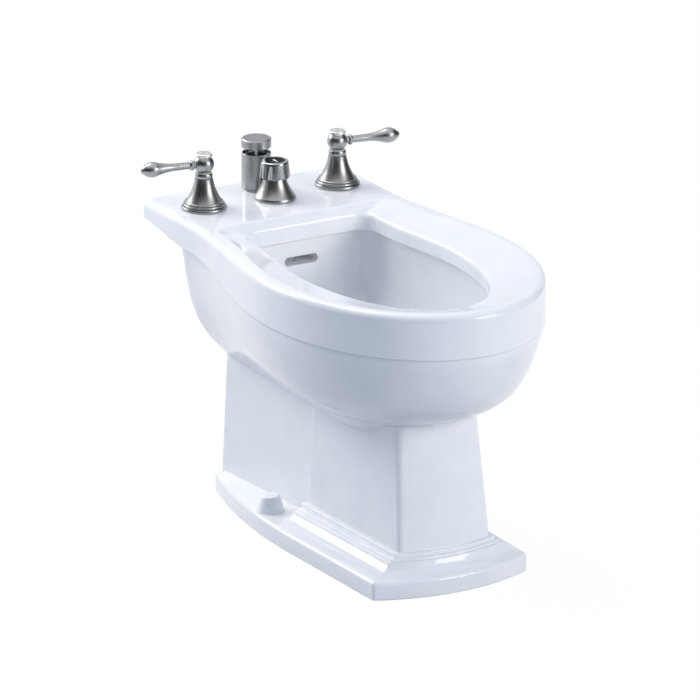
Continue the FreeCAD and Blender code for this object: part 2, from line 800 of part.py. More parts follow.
def china():
    body = rim_and_deck().cut(dish())
    crest_half = rim_half - n.crest_inset + past
    crest_back = opening_back + n.riser_run + past
    crest = [e for e in edges_at(body, n.deck_height)
             if e.BoundBox.YMax < crest_back and e.BoundBox.XMax < crest_half]
    body = body.makeFillet(n.crest_round, crest)
    body = body.cut(prism(opening_wire(lip_z - past), n.deck_height - lip_z + past))
    body = body.makeFillet(n.opening_round, edges_at(body, dish_z, 0.3))
    mouth = prism(opening_wire(lip_z - past, past), n.deck_height - lip_z + past)
    below = belly(0, back_plane).cut(mouth)
    body = body.multiFuse([below, column(), web(), foot()] + moulding())
    body = body.cut(bowl(0))
    body = body.cut(hollow())
    holes = [slot(opening_back - past, chamber_front + n.overflow_depth - n.overflow_wall)]
    holes.append(duct(n.overflow_bore))
    deck_low = under_deck.value - past
    for x, y in ((-n.tap_spread / 2, tap_y), (n.tap_spread / 2, tap_y), (0, diverter_y), (0, breaker_y)):
        holes.append(drill(x, y.value, deck_low, n.deck_hole_diameter, n.deck_thickness + 2 * past))
    drain_low, drain_through = drain_under.value - past, n.drain_boss_depth + 2 * past
    holes.append(drill(0, drain_y.value, drain_low, n.drain_hole_diameter, drain_through))
    spray_low, spray_through = bowl_under.value - past, n.china_wall + 2 * past
    holes.append(drill(0, spray_y.value, spray_low, n.spray_hole_diameter, spray_through))
    for y, flange in ((drain_y, n.drain_flange_diameter), (spray_y, n.spray_flange_diameter)):
        holes.append(drill(0, y.value, bowl_floor.value, flange + 2 * n.loose_fit, 2 * n.china_wall))
    for sign in (-1, 1):
        holes.append(drill(sign * n.floor_hole_spacing / 2, floor_hole_y.value, -past,
                           n.floor_hole_diameter, n.foot_height + 2 * past))
    holes.append(drill(-n.rim_tube_aside, chamber_front - n.rim_socket_depth, port_z.value,
                       n.tube_diameter + 2 * n.loose_fit, n.rim_socket_depth + past, V(0, 1, 0)))
    return body.cut(holes)


solid("china_body", china())

# Floor bolt caps, each over a retainer that the floor bolt's nut holds down.
for side, sign in (("left", -1), ("right", 1)):
    x = d.floor_hole_spacing * (sign / 2)
    y = floor_hole_y
    cap_base = d.cap_base_diameter / 2
    cap_top = d.cap_top_diameter / 2
    shoulder = d.cap_height - d.cap_shoulder
    cap = turned(f"{side}_bolt_cap", [
        (cap_base - d.cap_wall, 0),
        (cap_base, 0),
        (cap_top + d.cap_shoulder, shoulder),
        (cap_top, d.cap_height, d.cap_shoulder / 4, 1),
        (0, d.cap_height),
        (0, d.cap_height - d.cap_wall),
        (cap_top, d.cap_height - d.cap_wall),
    ])
    seat(cap, x, y, d.foot_height)
    retainer = d.cap_base_diameter - d.cap_wall * 2 - d.loose_fit * 2 - d.retainer_height
    ring(f"{side}_bolt_retainer", d.retainer_bore, retainer, d.retainer_height, x, y, d.foot_height)


def valve(label, x, y, bonnet_top, bore, ports):
    # Brass valve: lower end, block with side ports, threaded shank through the deck, bonnet for the stem.
    bottom = block_bottom - d.supply_length
    shoulder = d.supply_length + d.block_height
    shank_end = shank_top - bottom
    top = bonnet_top - bottom
    bore_end = top - d.stem_grip
    body = turned(label, [
        (bore / 2, 0),
        (d.supply_diameter / 2, 0),
        (d.supply_diameter / 2, d.supply_length),
        (d.block_diameter / 2, d.supply_length),
        (d.block_diameter / 2, shoulder),
        (d.shank_diameter / 2, shoulder),
        (d.shank_diameter / 2, shank_end),
        (d.bonnet_diameter / 2, shank_end),
        (d.bonnet_diameter / 2, top),
        (d.stem_diameter / 2 + d.close_fit, top),
        (d.stem_diameter / 2 + d.close_fit, bore_end),
        (0, bore_end),
        (0, d.supply_bore_depth),
        (bore / 2, d.supply_bore_depth),
    ])
    add_ports(body, label, d.supply_length + d.block_height / 2, ports)
    seat(body, x, y, bottom)


def add_ports(body, label, height, ports):
    for role, mirrored, reach in ports:
        name = f"{label}_{role[0].lower()}_{'minus' if mirrored else 'plus'}"
        root = d.block_diameter / 4
        turnings = (("port", d.port_diameter / 2, "Revolution"), ("way", d.tube_bore / 2, "Groove"))
        for suffix, radius, kind in turnings:
            outline = [(root, 0), (reach, 0), (reach, radius), (root, radius)]
            turn_across(body, f"{name}_{suffix}", outline, height, role, mirrored, kind)


def clamp_to_deck(name, x, y):
    # Rubber washer and locknut that hold a fitting's shank from below the deck.
    bore = d.shank_diameter + d.close_fit * 2
    ring(f"{name}_deck_washer", bore, d.washer_diameter, d.washer_thickness, x, y,
         under_deck - d.washer_thickness)
    hex_nut(f"{name}_locknut", d.nut_width, d.nut_height, bore, x, y,
            under_deck - d.washer_thickness - d.nut_height)


def top_flange(name, x, y):
    # Threaded flange that the shank hangs from, on the deck under the escutcheon.
    bore = d.shank_diameter + d.close_fit * 2
    ring(f"{name}_top_flange", bore, d.flange_diameter, d.flange_height, x, y, d.deck_height)


def stem(label, x, y, bonnet_top, top):
    bottom = bonnet_top - d.stem_grip + d.loose_fit
    body = turned(label, [
        (0, 0),
        (d.stem_diameter / 2, 0),
        (d.stem_diameter / 2, top - bottom),
        (0, top - bottom),
    ])
    seat(body, x, y, bottom)


# Taps: escutcheon bell, neck ring and glide ring are fixed; stem, handle, set screw and index cap turn.
def tap(name, sign):
    x = d.tap_spread * (sign / 2)
    y = tap_y
    neck_z = d.deck_height + d.bell_height
    glide_z = neck_z + d.neck_ring_height
    hub_z = glide_z + d.glide_thickness + d.hub_gap
    bonnet_top = glide_z - d.loose_fit
    stem_top = hub_z + d.stem_hole_depth - d.loose_fit
    second_z = d.bell_base_ring_height + d.bell_second_ring_height
    bell_z = second_z + d.bell_third_ring_height
    bore = d.bonnet_diameter / 2 + d.loose_fit
    bell = turned(f"{name}_escutcheon", [
        (d.bell_base_diameter / 2 - d.bell_wall, 0),
        (d.bell_base_ring / 2, 0),
        (d.bell_base_ring / 2, d.bell_base_ring_height, d.ring_bulge, 1),
        (d.bell_second_ring / 2, d.bell_base_ring_height),
        (d.bell_second_ring / 2, second_z, d.ring_bulge, 1),
        (d.bell_third_ring / 2, second_z),
        (d.bell_third_ring / 2, bell_z, d.ring_bulge, 1),
        (d.bell_base_diameter / 2, bell_z),
        (d.bell_top_diameter / 2, d.bell_height, d.bell_hollow, -1),
        (bore, d.bell_height),
        (bore, d.bell_height - d.bell_wall),
        (d.bell_base_diameter / 2 - d.bell_wall, bell_z, d.bell_hollow, 1),
    ])
    seat(bell, x, y, d.deck_height)
    neck_bore = d.bonnet_diameter / 2 + d.close_fit
    neck = turned(f"{name}_neck_ring", [
        (neck_bore, 0),
        (d.neck_ring_diameter / 2, 0),
        (d.neck_ring_diameter / 2, d.neck_ring_height, d.ring_bulge, 1),
        (neck_bore, d.neck_ring_height),
    ])
    seat(neck, x, y, neck_z)
    glide_bore = d.stem_diameter + d.loose_fit * 2
    ring(f"{name}_glide_ring", glide_bore, d.glide_diameter, d.glide_thickness, x, y, glide_z)
    valve(f"{name}_valve", x, y, bonnet_top, d.supply_bore, [("XZ_Plane", sign > 0, d.port_reach)])
    stem(f"{name}_stem", x, y, bonnet_top, stem_top)
    clamp_to_deck(name, x, y)
    top_flange(name, x, y)
    handle(name, sign, x, y, hub_z)


def handle(name, sign, x, y, hub_z):
    recess = d.index_tail_diameter / 2 + d.close_fit
    grip = d.stem_diameter / 2 + d.close_fit
    hub = turned(f"{name}_handle", [
        (grip, 0),
        (d.hub_base_diameter / 2, 0),
        (d.hub_top_diameter / 2, d.hub_height, d.hub_bulge, 1),
        (recess, d.hub_height),
        (recess, d.hub_height - d.index_tail - d.loose_fit),
        (grip, d.hub_height - d.index_tail - d.loose_fit),
    ])
    bead_end = d.bead_start + d.bead_length
    lever = [
        (d.lever_root, 0),
        (d.bulb_end + d.nub_length, 0),
        (d.bulb_end, d.bulb_end_diameter / 2, d.nub_bulge, 1),
        (d.flare_end, d.flare_end_diameter / 2, d.bulb_bulge, 1),
        (d.shaft_end, d.shaft_end_diameter / 2, d.flare_bulge, -1),
        (bead_end, d.lever_neck_diameter / 2),
        (d.bead_start, d.lever_neck_diameter / 2, d.bead_bulge, 1),
        (d.lever_root, d.lever_neck_diameter / 2),
    ]
    turn_across(hub, f"{name}_lever", lever, d.lever_height)
    screw_hole = f"{name}_screw_hole"
    round_cut(hub, screw_hole, "XZ_Plane", as_size(0), d.lever_height, d.set_screw_diameter, up=sign < 0)
    seat(hub, x, y, hub_z, (V(0, 0, 1), 90 - 90 * sign - n.lever_turn))
    tail = d.index_tail_diameter / 2
    under = d.index_tail + d.index_neck
    cap = turned(f"{name}_index_cap", [
        (0, 0),
        (tail, 0),
        (tail, d.index_tail),
        (d.hub_top_diameter / 2, d.index_tail),
        (d.hub_top_diameter / 2, under),
        (d.index_diameter / 2, under + d.index_edge),
        (d.index_diameter / 2, under + d.index_thickness - d.index_edge),
        (d.index_diameter / 2 - d.index_edge, under + d.index_thickness, d.index_edge / 4, 1),
        (0, under + d.index_thickness),
    ])
    seat(cap, x, y, hub_z + d.hub_height - d.index_tail)
    screw = doc.addObject("Part::Cylinder", f"{name}_set_screw_blank")
    bind(screw, "Radius", d.set_screw_diameter / 2 - d.close_fit)
    bind(screw, "Height", d.set_screw_length)
    socket = doc.addObject("Part::Prism", f"{name}_set_screw_socket")
    socket.Polygon = 6
    bind(socket, "Circumradius", d.set_screw_socket / 2)
    bind(socket, "Height", d.set_screw_length / 2)
    seat(socket, 0, 0, d.set_screw_length / 2)
    cut = keep(doc.addObject("Part::Cut", f"{name}_set_screw"), f"{name}_set_screw")
    cut.Base = screw
    cut.Tool = socket
    level = FreeCAD.Rotation(V(0, 0, 1), -n.lever_turn).multiply(FreeCAD.Rotation(V(1, 0, 0), -90))
    lean = math.radians(n.lever_turn)
    seat(cut, x + grip * math.sin(lean), y + grip * math.cos(lean), hub_z + d.lever_height,
         (level.Axis, math.degrees(level.Angle)))


tap("hot", -1)
tap("cold", 1)


# Diverter: cone and collar are fixed; stem, knob and marker disc turn.
def diverter():
    x = as_size(0)
    y = diverter_y
    collar_z = d.deck_height + d.cone_height
    bonnet_top = collar_z + d.collar_height
    knob_z = d.deck_height + d.knob_above
    bore = d.bonnet_diameter / 2 + d.loose_fit
    cone = turned("diverter_escutcheon", [
        (d.cone_shoulder_diameter / 2 - d.bell_wall, 0),
        (d.cone_base_diameter / 2, 0),
        (d.cone_shoulder_diameter / 2, d.cone_foot_height, d.cone_foot_bulge, 1),
        (d.cone_top_diameter / 2, d.cone_height, d.cone_hollow, -1),
        (bore, d.cone_height),
        (bore, d.cone_height - d.bell_wall),
        (d.cone_top_diameter / 2 - d.bell_wall, d.cone_height - d.bell_wall),
        (d.cone_shoulder_diameter / 2 - d.bell_wall, d.cone_foot_height, d.cone_hollow, 1),
    ])
    seat(cone, x, y, d.deck_height)
    collar_bore = d.bonnet_diameter + d.close_fit * 2
    ring("diverter_collar", collar_bore, d.collar_diameter, d.collar_height, x, y, collar_z)
    ports = [("YZ_Plane", False, link_reach), ("XZ_Plane", True, d.port_reach)]
    valve("diverter_valve", x, y, bonnet_top, d.tube_bore, ports)
    stem("diverter_stem", x, y, bonnet_top, knob_z + d.knob_recess_depth + d.knob_stem_depth - d.loose_fit)
    clamp_to_deck("diverter", x, y)
    top_flange("diverter", x, y)
    grip = d.stem_diameter / 2 + d.close_fit
    marker_z = d.knob_height - d.marker_recess
    rim = d.marker_diameter / 2 + d.close_fit
    knob = turned("diverter_knob", [
        (d.knob_recess_diameter / 2, 0),
        (d.knob_base_diameter / 2, 0),
        (d.knob_top_diameter / 2, d.knob_height - d.knob_edge),
        (d.knob_top_diameter / 2 - d.knob_edge, d.knob_height, d.knob_edge / 4, 1),
        (rim, d.knob_height),
        (rim, marker_z),
        (0, marker_z),
        (0, d.knob_recess_depth + d.knob_stem_depth),
        (grip, d.knob_recess_depth + d.knob_stem_depth),
        (grip, d.knob_recess_depth),
        (d.knob_recess_diameter / 2, d.knob_recess_depth),
    ])
    flute_x = d.knob_base_diameter / 2 - d.flute_depth + d.flute_diameter / 2
    flute = round_cut(knob, "diverter_knob_flute", "XY_Plane", flute_x, as_size(0), d.flute_diameter,
                      d.knob_height - d.flute_top)
    around(knob, flute, "diverter_knob_flutes", 8)
    seat(knob, x, y, knob_z)
    marker = turned("diverter_marker", [
        (0, 0),
        (d.marker_diameter / 2, 0),
        (d.marker_diameter / 2, d.marker_thickness),
        (0, d.marker_thickness),
    ])
    seat(marker, x, y, knob_z + marker_z)


diverter()


# Vacuum breaker: body, cup, shell and cap are fixed; the float lifts inside the cup when water is on.
def breaker():
    x = as_size(0)
    y = breaker_y
    bottom = block_bottom
    lip = d.block_height
    cup_floor = d.deck_height + d.breaker_cup_floor - bottom
    way_floor = d.block_height / 4
    body = turned("breaker_body", [
        (0, 0),
        (d.block_diameter / 2, 0),
        (d.block_diameter / 2, lip),
        (d.shank_diameter / 2, lip),
        (d.shank_diameter / 2, cup_floor),
        (d.breaker_way / 2, cup_floor),
        (d.breaker_way / 2, way_floor),
        (0, way_floor),
    ])
    ports = [("XZ_Plane", side, d.port_reach) for side in (False, True)]
    add_ports(body, "breaker_body", d.block_height / 2, ports + [("YZ_Plane", True, link_reach)])
    seat(body, x, y, bottom)
    clamp_to_deck("breaker", x, y)
    cup_bore = d.shank_diameter + d.close_fit * 2
    ring("breaker_cup", cup_bore, d.breaker_cup_diameter, d.breaker_cup_top, x, y, d.deck_height)
    outer = d.breaker_diameter / 2
    inner = outer - d.breaker_shell_wall
    foot_r = outer - d.breaker_plinth_inset
    edge = d.breaker_shell_wall / 2
    shell = turned("breaker_shell", [
        (d.breaker_cup_diameter / 2 + d.loose_fit, 0),
        (foot_r, 0),
        (foot_r, d.breaker_plinth),
        (outer, d.breaker_plinth + d.breaker_plinth_inset),
        (outer, d.breaker_shell_height - edge),
        (outer - edge, d.breaker_shell_height, edge / 4, 1),
        (inner, d.breaker_shell_height),
        (inner, d.breaker_plinth + d.breaker_plinth_inset),
        (d.breaker_cup_diameter / 2 + d.loose_fit, d.breaker_plinth),
    ])
    seat(shell, x, y, d.deck_height)
    under = d.breaker_shell_height + d.breaker_air_gap - d.breaker_cup_top
    top = under + d.breaker_cap_height
    cap_r = d.breaker_cap_diameter / 2
    cap = turned("breaker_cap", [
        (0, under),
        (cap_r, under),
        (cap_r, top - d.breaker_cap_chamfer),
        (cap_r - d.breaker_cap_chamfer, top),
        (0, top),
    ])
    post_circle = (d.breaker_cup_diameter + cup_bore) / 4
    sketch = sketch_on(cap, "XY_Plane", "breaker_post_outline")
    post_radius = d.breaker_post_diameter / 2
    circle = sketch.addGeometry(Part.Circle(V(post_circle.value, 0, 0), V(0, 0, 1), post_radius.value))
    fix_point(sketch, circle, 3, post_circle, as_size(0))
    dimension(sketch, "Radius", (circle,), post_radius)
    post = cap.newObject("PartDesign::Pad", "breaker_post")
    post.Profile = sketch
    bind(post, "Length", under + d.breaker_cap_chamfer)
    around(cap, post, "breaker_posts", 3)
    seat(cap, x, y, d.deck_height + d.breaker_cup_top)
    guide = d.breaker_way / 2 - d.float_play
    disc = cup_bore / 2 - d.float_play
    height = d.float_stem_length + d.float_thickness
    poppet = turned("breaker_float", [
        (0, 0),
        (guide, 0),
        (guide, d.float_stem_length),
        (disc, d.float_stem_length),
        (disc, height),
        (guide, height),
        (guide / 2, height + d.float_thickness / 2),
        (0, height + d.float_thickness / 2),
    ])
    seat(poppet, x, y, d.deck_height + d.breaker_cup_floor - d.float_stem_length + d.loose_fit)


breaker()


# Drain: body clamped through the bowl's floor, tailpiece below it, and a stopper that lifts.
def drain():
    x = as_size(0)
    y = drain_y
    bore = d.drain_bore / 2
    outer = d.drain_body_diameter / 2
    flange = d.drain_flange_diameter / 2
    floor = d.drain_body_length
    guide = d.stopper_stem_diameter / 2 + d.close_fit
    guide_top = d.drain_guide_height + d.drain_guide_thickness
    lip = floor + d.drain_flange_thickness
    body = turned("drain_body", [
        (bore, 0),
        (outer, 0),
        (outer, floor),
        (flange, floor),
        (flange - d.drain_flange_thickness, lip, d.drain_flange_thickness / 4, 1),
        (bore + d.drain_seat_depth, lip),
        (bore, lip - d.drain_seat_depth),
        (bore, guide_top),
        (guide, guide_top),
        (guide, d.drain_guide_height),
        (bore, d.drain_guide_height),
    ])
    hole = round_cut(body, "drain_water_way", "XY_Plane", d.drain_port_circle / 2, as_size(0),
                     d.drain_port_diameter, guide_top + d.close_fit)
    around(body, hole, "drain_water_ways", 4)
    seat(body, x, y, drain_bottom)
    fit = d.drain_body_diameter + d.close_fit * 2
    gasket_z = drain_under - d.drain_gasket_thickness
    ring("drain_gasket", fit, d.drain_gasket_diameter, d.drain_gasket_thickness, x, y, gasket_z)
    hex_nut("drain_locknut", d.drain_nut_width, d.drain_nut_height, fit, x, y, gasket_z - d.drain_nut_height)
    spigot = bore - d.close_fit
    tailpiece = turned("drain_tailpiece", [
        (d.tail_bore / 2, 0),
        (d.tail_diameter / 2, 0),
        (d.tail_diameter / 2, d.tail_length),
        (spigot, d.tail_length),
        (spigot, d.tail_length + d.tail_grip),
        (d.tail_bore / 2, d.tail_length + d.tail_grip),
    ])
    seat(tailpiece, x, y, drain_bottom - d.tail_length)
    stem_r = d.stopper_stem_diameter / 2
    rim = d.stopper_diameter / 2
    shoulder = d.stopper_stem_length + d.stopper_thickness
    stopper = turned("drain_stopper", [
        (0, 0),
        (stem_r, 0),
        (stem_r, d.stopper_stem_length),
        (rim, d.stopper_stem_length),
        (rim, shoulder),
        (stem_r, shoulder + d.stopper_crown, d.stopper_crown / 4, 1),
        (0, shoulder + d.stopper_crown),
    ])
    seat(stopper, x, y, bowl_floor + d.drain_flange_thickness + d.loose_fit - d.stopper_stem_length)


drain()


# Spray: nozzle through the bowl's floor, clamped from below.
def spray():
    x = as_size(0)
    y = spray_y
    shank = d.spray_shank_diameter / 2
    flange = d.spray_flange_diameter / 2
    floor = d.spray_shank_length
    top = floor + d.spray_flange_height + d.spray_dome_height
    nozzle = turned("spray_nozzle", [
        (d.spray_bore / 2, 0),
        (shank, 0),
        (shank, floor),
        (flange, floor),
        (flange, floor + d.spray_flange_height),
        (d.spray_dome_diameter / 2, top, d.spray_dome_height / 5, 1),
        (0, top),
        (0, top - d.spray_roof),
        (d.spray_bore / 2, top - d.spray_roof),
    ])
    jet_x = d.spray_jet_circle / 2
    jet = round_cut(nozzle, "spray_jet", "XY_Plane", jet_x, as_size(0), d.spray_jet_diameter)
    around(nozzle, jet, "spray_jets", 6)
    seat(nozzle, x, y, spray_bottom)
    fit = d.spray_shank_diameter + d.close_fit * 2
    gasket_z = bowl_under - d.spray_gasket_thickness
    ring("spray_gasket", fit, d.spray_gasket_diameter, d.spray_gasket_thickness, x, y, gasket_z)
    hex_nut("spray_locknut", d.spray_nut_width, d.spray_nut_height, fit, x, y, gasket_z - d.spray_nut_height)


spray()


def route(points):
    # Straight runs joined by tangent arcs, each as large as its two runs allow.
    edges = []
    here = points[0]
    for before, corner, after in zip(points, points[1:], points[2:]):
        back_way = before - corner
        on_way = after - corner
        reach = 0.45 * min(back_way.Length, on_way.Length)
        back_way.normalize()
        on_way.normalize()
        half_angle = (math.pi - back_way.getAngle(on_way)) / 2
        radius = reach / math.tan(half_angle)
        first, last = corner + back_way * reach, corner + on_way * reach
        inward = back_way + on_way
        inward.normalize()
        middle = corner + inward * (radius / math.cos(half_angle) - radius)
        edges.append(Part.LineSegment(here, first).toShape())
        edges.append(Part.Arc(first, middle, last).toShape())
        here = last
    edges.append(Part.LineSegment(here, points[-1]).toShape())
    return Part.Wire(edges)


def tube(label, points):
    path = route(points)
    pipes = []
    for diameter in (n.tube_diameter, n.tube_bore):
        section = Part.Wire(Part.Circle(points[0], points[1] - points[0], diameter / 2).toShape())
        pipes.append(path.makePipeShell([section], True, False))
    solid(label, pipes[0].cut(pipes[1]))


def pipework():
    # Hot and cold meet at the vacuum breaker, pass to the diverter, and leave it for the rim or the spray.
    z = port_z.value
    tap_end = n.tap_spread / 2 - n.port_reach
    run = (tap_end - n.port_reach) / 4
    for name, sign in (("hot", -1), ("cold", 1)):
        tube(f"{name}_tube", [
            V(sign * tap_end, tap_y.value, z),
            V(sign * (tap_end - run), tap_y.value, z),
            V(sign * (n.port_reach + run), breaker_y.value, z),
            V(sign * n.port_reach, breaker_y.value, z),
        ])
    tube("rim_tube", [
        V(-n.port_reach, diverter_y.value, z),
        V(-n.rim_tube_aside, diverter_y.value, z),
        V(-n.rim_tube_aside, chamber_front - n.rim_socket_depth + n.loose_fit, z),
    ])
    outlet = block_bottom.value - n.supply_length
    knee = outlet - n.spray_tube_drop
    low = spray_bottom.value - n.spray_tube_low
    tube("spray_tube", [
        V(0, diverter_y.value, outlet),
        V(0, diverter_y.value, knee),
        V(-n.spray_tube_aside, diverter_y.value - n.spray_tube_aside, (knee + low) / 2),
        V(-n.spray_tube_aside, (diverter_y.value + drain_y.value) / 2, low),
        V(-n.spray_tube_aside, drain_y.value, low),
        V(0, spray_y.value, low),
        V(0, spray_y.value, spray_bottom.value),
    ])


pipework()

doc.recompute()
for thing in doc.Objects:
    if "Invalid" in thing.State or "Error" in thing.State:
        raise RuntimeError(f"{thing.Label} is {thing.State}")
for node in nodes:
    if node.Shape.isNull() or not node.Shape.isValid():
        raise RuntimeError(f"{node.Label} has no valid shape")
    print(node.Label, len(node.Shape.Solids), round(node.Shape.Volume), "mm3")
os.makedirs("parts", exist_ok=True)
for node in nodes:
    node.Shape.exportStep(f"parts/{node.Label}.step")
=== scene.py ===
import bpy
import json
import math
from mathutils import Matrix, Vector


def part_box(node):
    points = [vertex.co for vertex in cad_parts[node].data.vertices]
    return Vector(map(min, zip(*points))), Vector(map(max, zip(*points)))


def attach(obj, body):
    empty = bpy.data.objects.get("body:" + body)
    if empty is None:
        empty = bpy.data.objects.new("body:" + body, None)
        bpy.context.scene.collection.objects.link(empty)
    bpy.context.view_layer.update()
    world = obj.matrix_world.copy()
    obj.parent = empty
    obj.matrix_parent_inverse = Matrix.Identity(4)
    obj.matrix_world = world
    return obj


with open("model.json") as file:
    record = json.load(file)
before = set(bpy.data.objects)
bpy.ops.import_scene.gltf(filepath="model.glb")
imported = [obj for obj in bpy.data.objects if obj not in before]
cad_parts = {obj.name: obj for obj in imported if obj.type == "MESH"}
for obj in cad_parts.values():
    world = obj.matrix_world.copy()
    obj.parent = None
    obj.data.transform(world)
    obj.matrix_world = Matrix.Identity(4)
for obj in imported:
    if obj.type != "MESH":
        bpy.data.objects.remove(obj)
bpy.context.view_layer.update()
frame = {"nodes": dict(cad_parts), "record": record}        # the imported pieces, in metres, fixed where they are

nodes = frame["nodes"]
mm = 0.001
pureWhite = (1, 1, 1, 1)
print("bidet: loaded", len(nodes), "pieces")


# Small helpers

def linear(hexColour):        # sRGB hex to the linear colour that a node takes
    parts = [int(hexColour[i:i + 2], 16) / 255 for i in (1, 3, 5)]
    return [c / 12.92 if c <= 0.04045 else ((c + 0.055) / 1.055) ** 2.4 for c in parts] + [1.0]


def addNode(tree, kind, settings={}, values={}, links={}):
    node = tree.nodes.new(kind)
    for name, value in settings.items():
        setattr(node, name, value)
    for name, value in values.items():
        node.inputs[name].default_value = value
    for name, source in links.items():
        tree.links.new(source, node.inputs[name])
    return node


def perMetre(size):        # noise scale for a pattern whose grain is this many mm
    return 1 / (size * mm)


def deselectAll():
    for thing in bpy.context.selected_objects:
        thing.select_set(False)


def pick(piece):        # makes one piece the only selected one, and active
    deselectAll()
    piece.select_set(True)
    bpy.context.view_layer.objects.active = piece


def settle(piece, name):        # moves a piece's place into its mesh
    piece.name = name
    pick(piece)
    bpy.ops.object.transform_apply(location=True, rotation=True, scale=True)
    return piece


# Materials

noiseSpan = (0.3, 0.7)        # where most values of a noise pattern lie


def startMaterial(name, values):        # a Principled material and the coordinates its patterns read
    material = bpy.data.materials.new(name)
    material.use_nodes = True
    tree = material.node_tree
    shader = tree.nodes["Principled BSDF"]
    for socket, value in values.items():
        shader.inputs[socket].default_value = value
    place = addNode(tree, "ShaderNodeTexCoord").outputs["Object"]
    return material, tree, shader, place


def dress(tree, shader, look, toneFrom, roughFrom, reliefFrom):
    # Two tones, a roughness range and a low relief, each led by its own pattern
    tone = addNode(tree, "ShaderNodeValToRGB", {}, {}, {"Fac": toneFrom})
    for stop, position, colour in zip(tone.color_ramp.elements, look["toneSpan"], look["tones"]):
        stop.position = position
        stop.color = linear(colour)
    tree.links.new(tone.outputs["Color"], shader.inputs["Base Color"])
    rough = addNode(tree, "ShaderNodeMapRange", {},
                    {"From Min": noiseSpan[0], "From Max": noiseSpan[1],
                     "To Min": look["roughness"][0], "To Max": look["roughness"][1]}, {"Value": roughFrom})
    tree.links.new(rough.outputs["Result"], shader.inputs["Roughness"])
    bump = addNode(tree, "ShaderNodeBump", {}, {"Strength": look["relief"], "Distance": look["depth"] * mm},
                   reliefFrom)
    tree.links.new(bump.outputs["Normal"], shader.inputs["Normal"])


glazeLook = {
    "ior": 1.52,
    "tones": ("#F3F4F5", "#EBEDF0"), "toneSpan": (0.3, 0.7),        # white glaze, and cooler where it pools
    "roughness": (0.045, 0.1),
    "poolSize": 70.0, "hazeSize": 26.0, "peelSize": 9.0,        # mm
    "relief": 0.25, "depth": 0.02,        # strength of the orange peel, and its depth in mm
    "edgeRound": 2.5, "jointRound": 15.0,        # mm
    "jointSpan": (170.0, 205.0, 285.0, 315.0),        # heights in mm where that rounding sets in and ends
    "roundSamples": 8,
}


def makeGlaze():
    # Vitreous china under a white glaze, sprayed and fired: a deep clear gloss, very faint orange peel,
    # and a slightly cooler white where the glaze ran thick. It rounds edges off and fills corners, most
    # of all where the belly was luted to the pedestal.
    look = glazeLook
    material, tree, shader, place = startMaterial("glazedVitreousChina", {"IOR": look["ior"]})
    cloud = addNode(tree, "ShaderNodeTexNoise", {}, {"Scale": perMetre(look["poolSize"]), "Detail": 3.0},
                    {"Vector": place})
    haze = addNode(tree, "ShaderNodeTexNoise", {}, {"Scale": perMetre(look["hazeSize"]), "Detail": 5.0},
                   {"Vector": place})
    peel = addNode(tree, "ShaderNodeTexNoise", {}, {"Scale": perMetre(look["peelSize"]), "Detail": 2.0},
                   {"Vector": place})
    height = addNode(tree, "ShaderNodeSeparateXYZ", {}, {}, {"Vector": place}).outputs["Z"]
    low, lowFull, highFull, high = (z * mm for z in look["jointSpan"])
    edgeRound, jointRound = look["edgeRound"] * mm, look["jointRound"] * mm
    below = addNode(tree, "ShaderNodeMapRange", {"interpolation_type": "SMOOTHSTEP"},
                    {"From Min": low, "From Max": lowFull, "To Min": edgeRound, "To Max": jointRound},
                    {"Value": height})
    above = addNode(tree, "ShaderNodeMapRange", {"interpolation_type": "SMOOTHSTEP"},
                    {"From Min": highFull, "From Max": high, "To Min": jointRound, "To Max": edgeRound},
                    {"Value": height})
    reach = addNode(tree, "ShaderNodeMath", {"operation": "MINIMUM"}, {},
                    {0: below.outputs["Result"], 1: above.outputs["Result"]})
    edge = addNode(tree, "ShaderNodeBevel", {"samples": look["roundSamples"]}, {},
                   {"Radius": reach.outputs["Value"]})
    dress(tree, shader, look, cloud.outputs["Fac"], haze.outputs["Fac"],
          {"Height": peel.outputs["Fac"], "Normal": edge.outputs["Normal"]})
    return material


metalPattern = {
    "along": 20.0,        # streaks per metre along the tool marks
    "driftSize": 18.0, "driftShare": 0.4,        # mm, and how much the drift adds to the tone
    "toneSpan": (0.45, 0.95), "relief": 0.1,
}
metalLooks = {
    # line is the marks' spacing and depth their depth, in mm; across is the axis they are spaced along
    "satinNickelTurned": {        # soft grey sheen, with streaks round the upright axis
        "tones": ("#AEB0B2", "#A4A6A8"), "roughness": (0.31, 0.35),
        "line": 2.4, "depth": 0.002, "across": "Z"},
    "satinNickelLever": {        # the same sheen, with streaks round the lever
        "tones": ("#AEB0B2", "#A4A6A8"), "roughness": (0.31, 0.35),
        "line": 2.4, "depth": 0.002, "across": "X"},
    "polishedNickelKnob": {        # rubbed brighter by fingers, so its flutes show light and dark
        "tones": ("#BCBEC0", "#B0B2B4"), "roughness": (0.17, 0.21),
        "line": 2.4, "depth": 0.002, "across": "Z"},
    "paleIndexNickel": {        # nearly white, so that the mark stands out
        "tones": ("#FAF9F7", "#F1F0ED"), "roughness": (0.34, 0.42),
        "line": 0.9, "depth": 0.002, "across": "Y"},
    "turnedBrass": {        # bare yellow metal with plain lathe marks
        "tones": ("#D9B873", "#BF9A55"), "roughness": (0.24, 0.42),
        "line": 0.8, "depth": 0.008, "across": "Z"},
    "platedCopperTube": {        # drawn and plated, almost a mirror
        "tones": ("#D9DBDD", "#C9CBCE"), "roughness": (0.1, 0.2),
        "line": 3.0, "depth": 0.004, "across": "Z"},
    "stainlessScrew": {        # dull grey machined steel
        "tones": ("#B9B9B8", "#A3A3A2"), "roughness": (0.25, 0.4),
        "line": 0.5, "depth": 0.006, "across": "Y"},
}


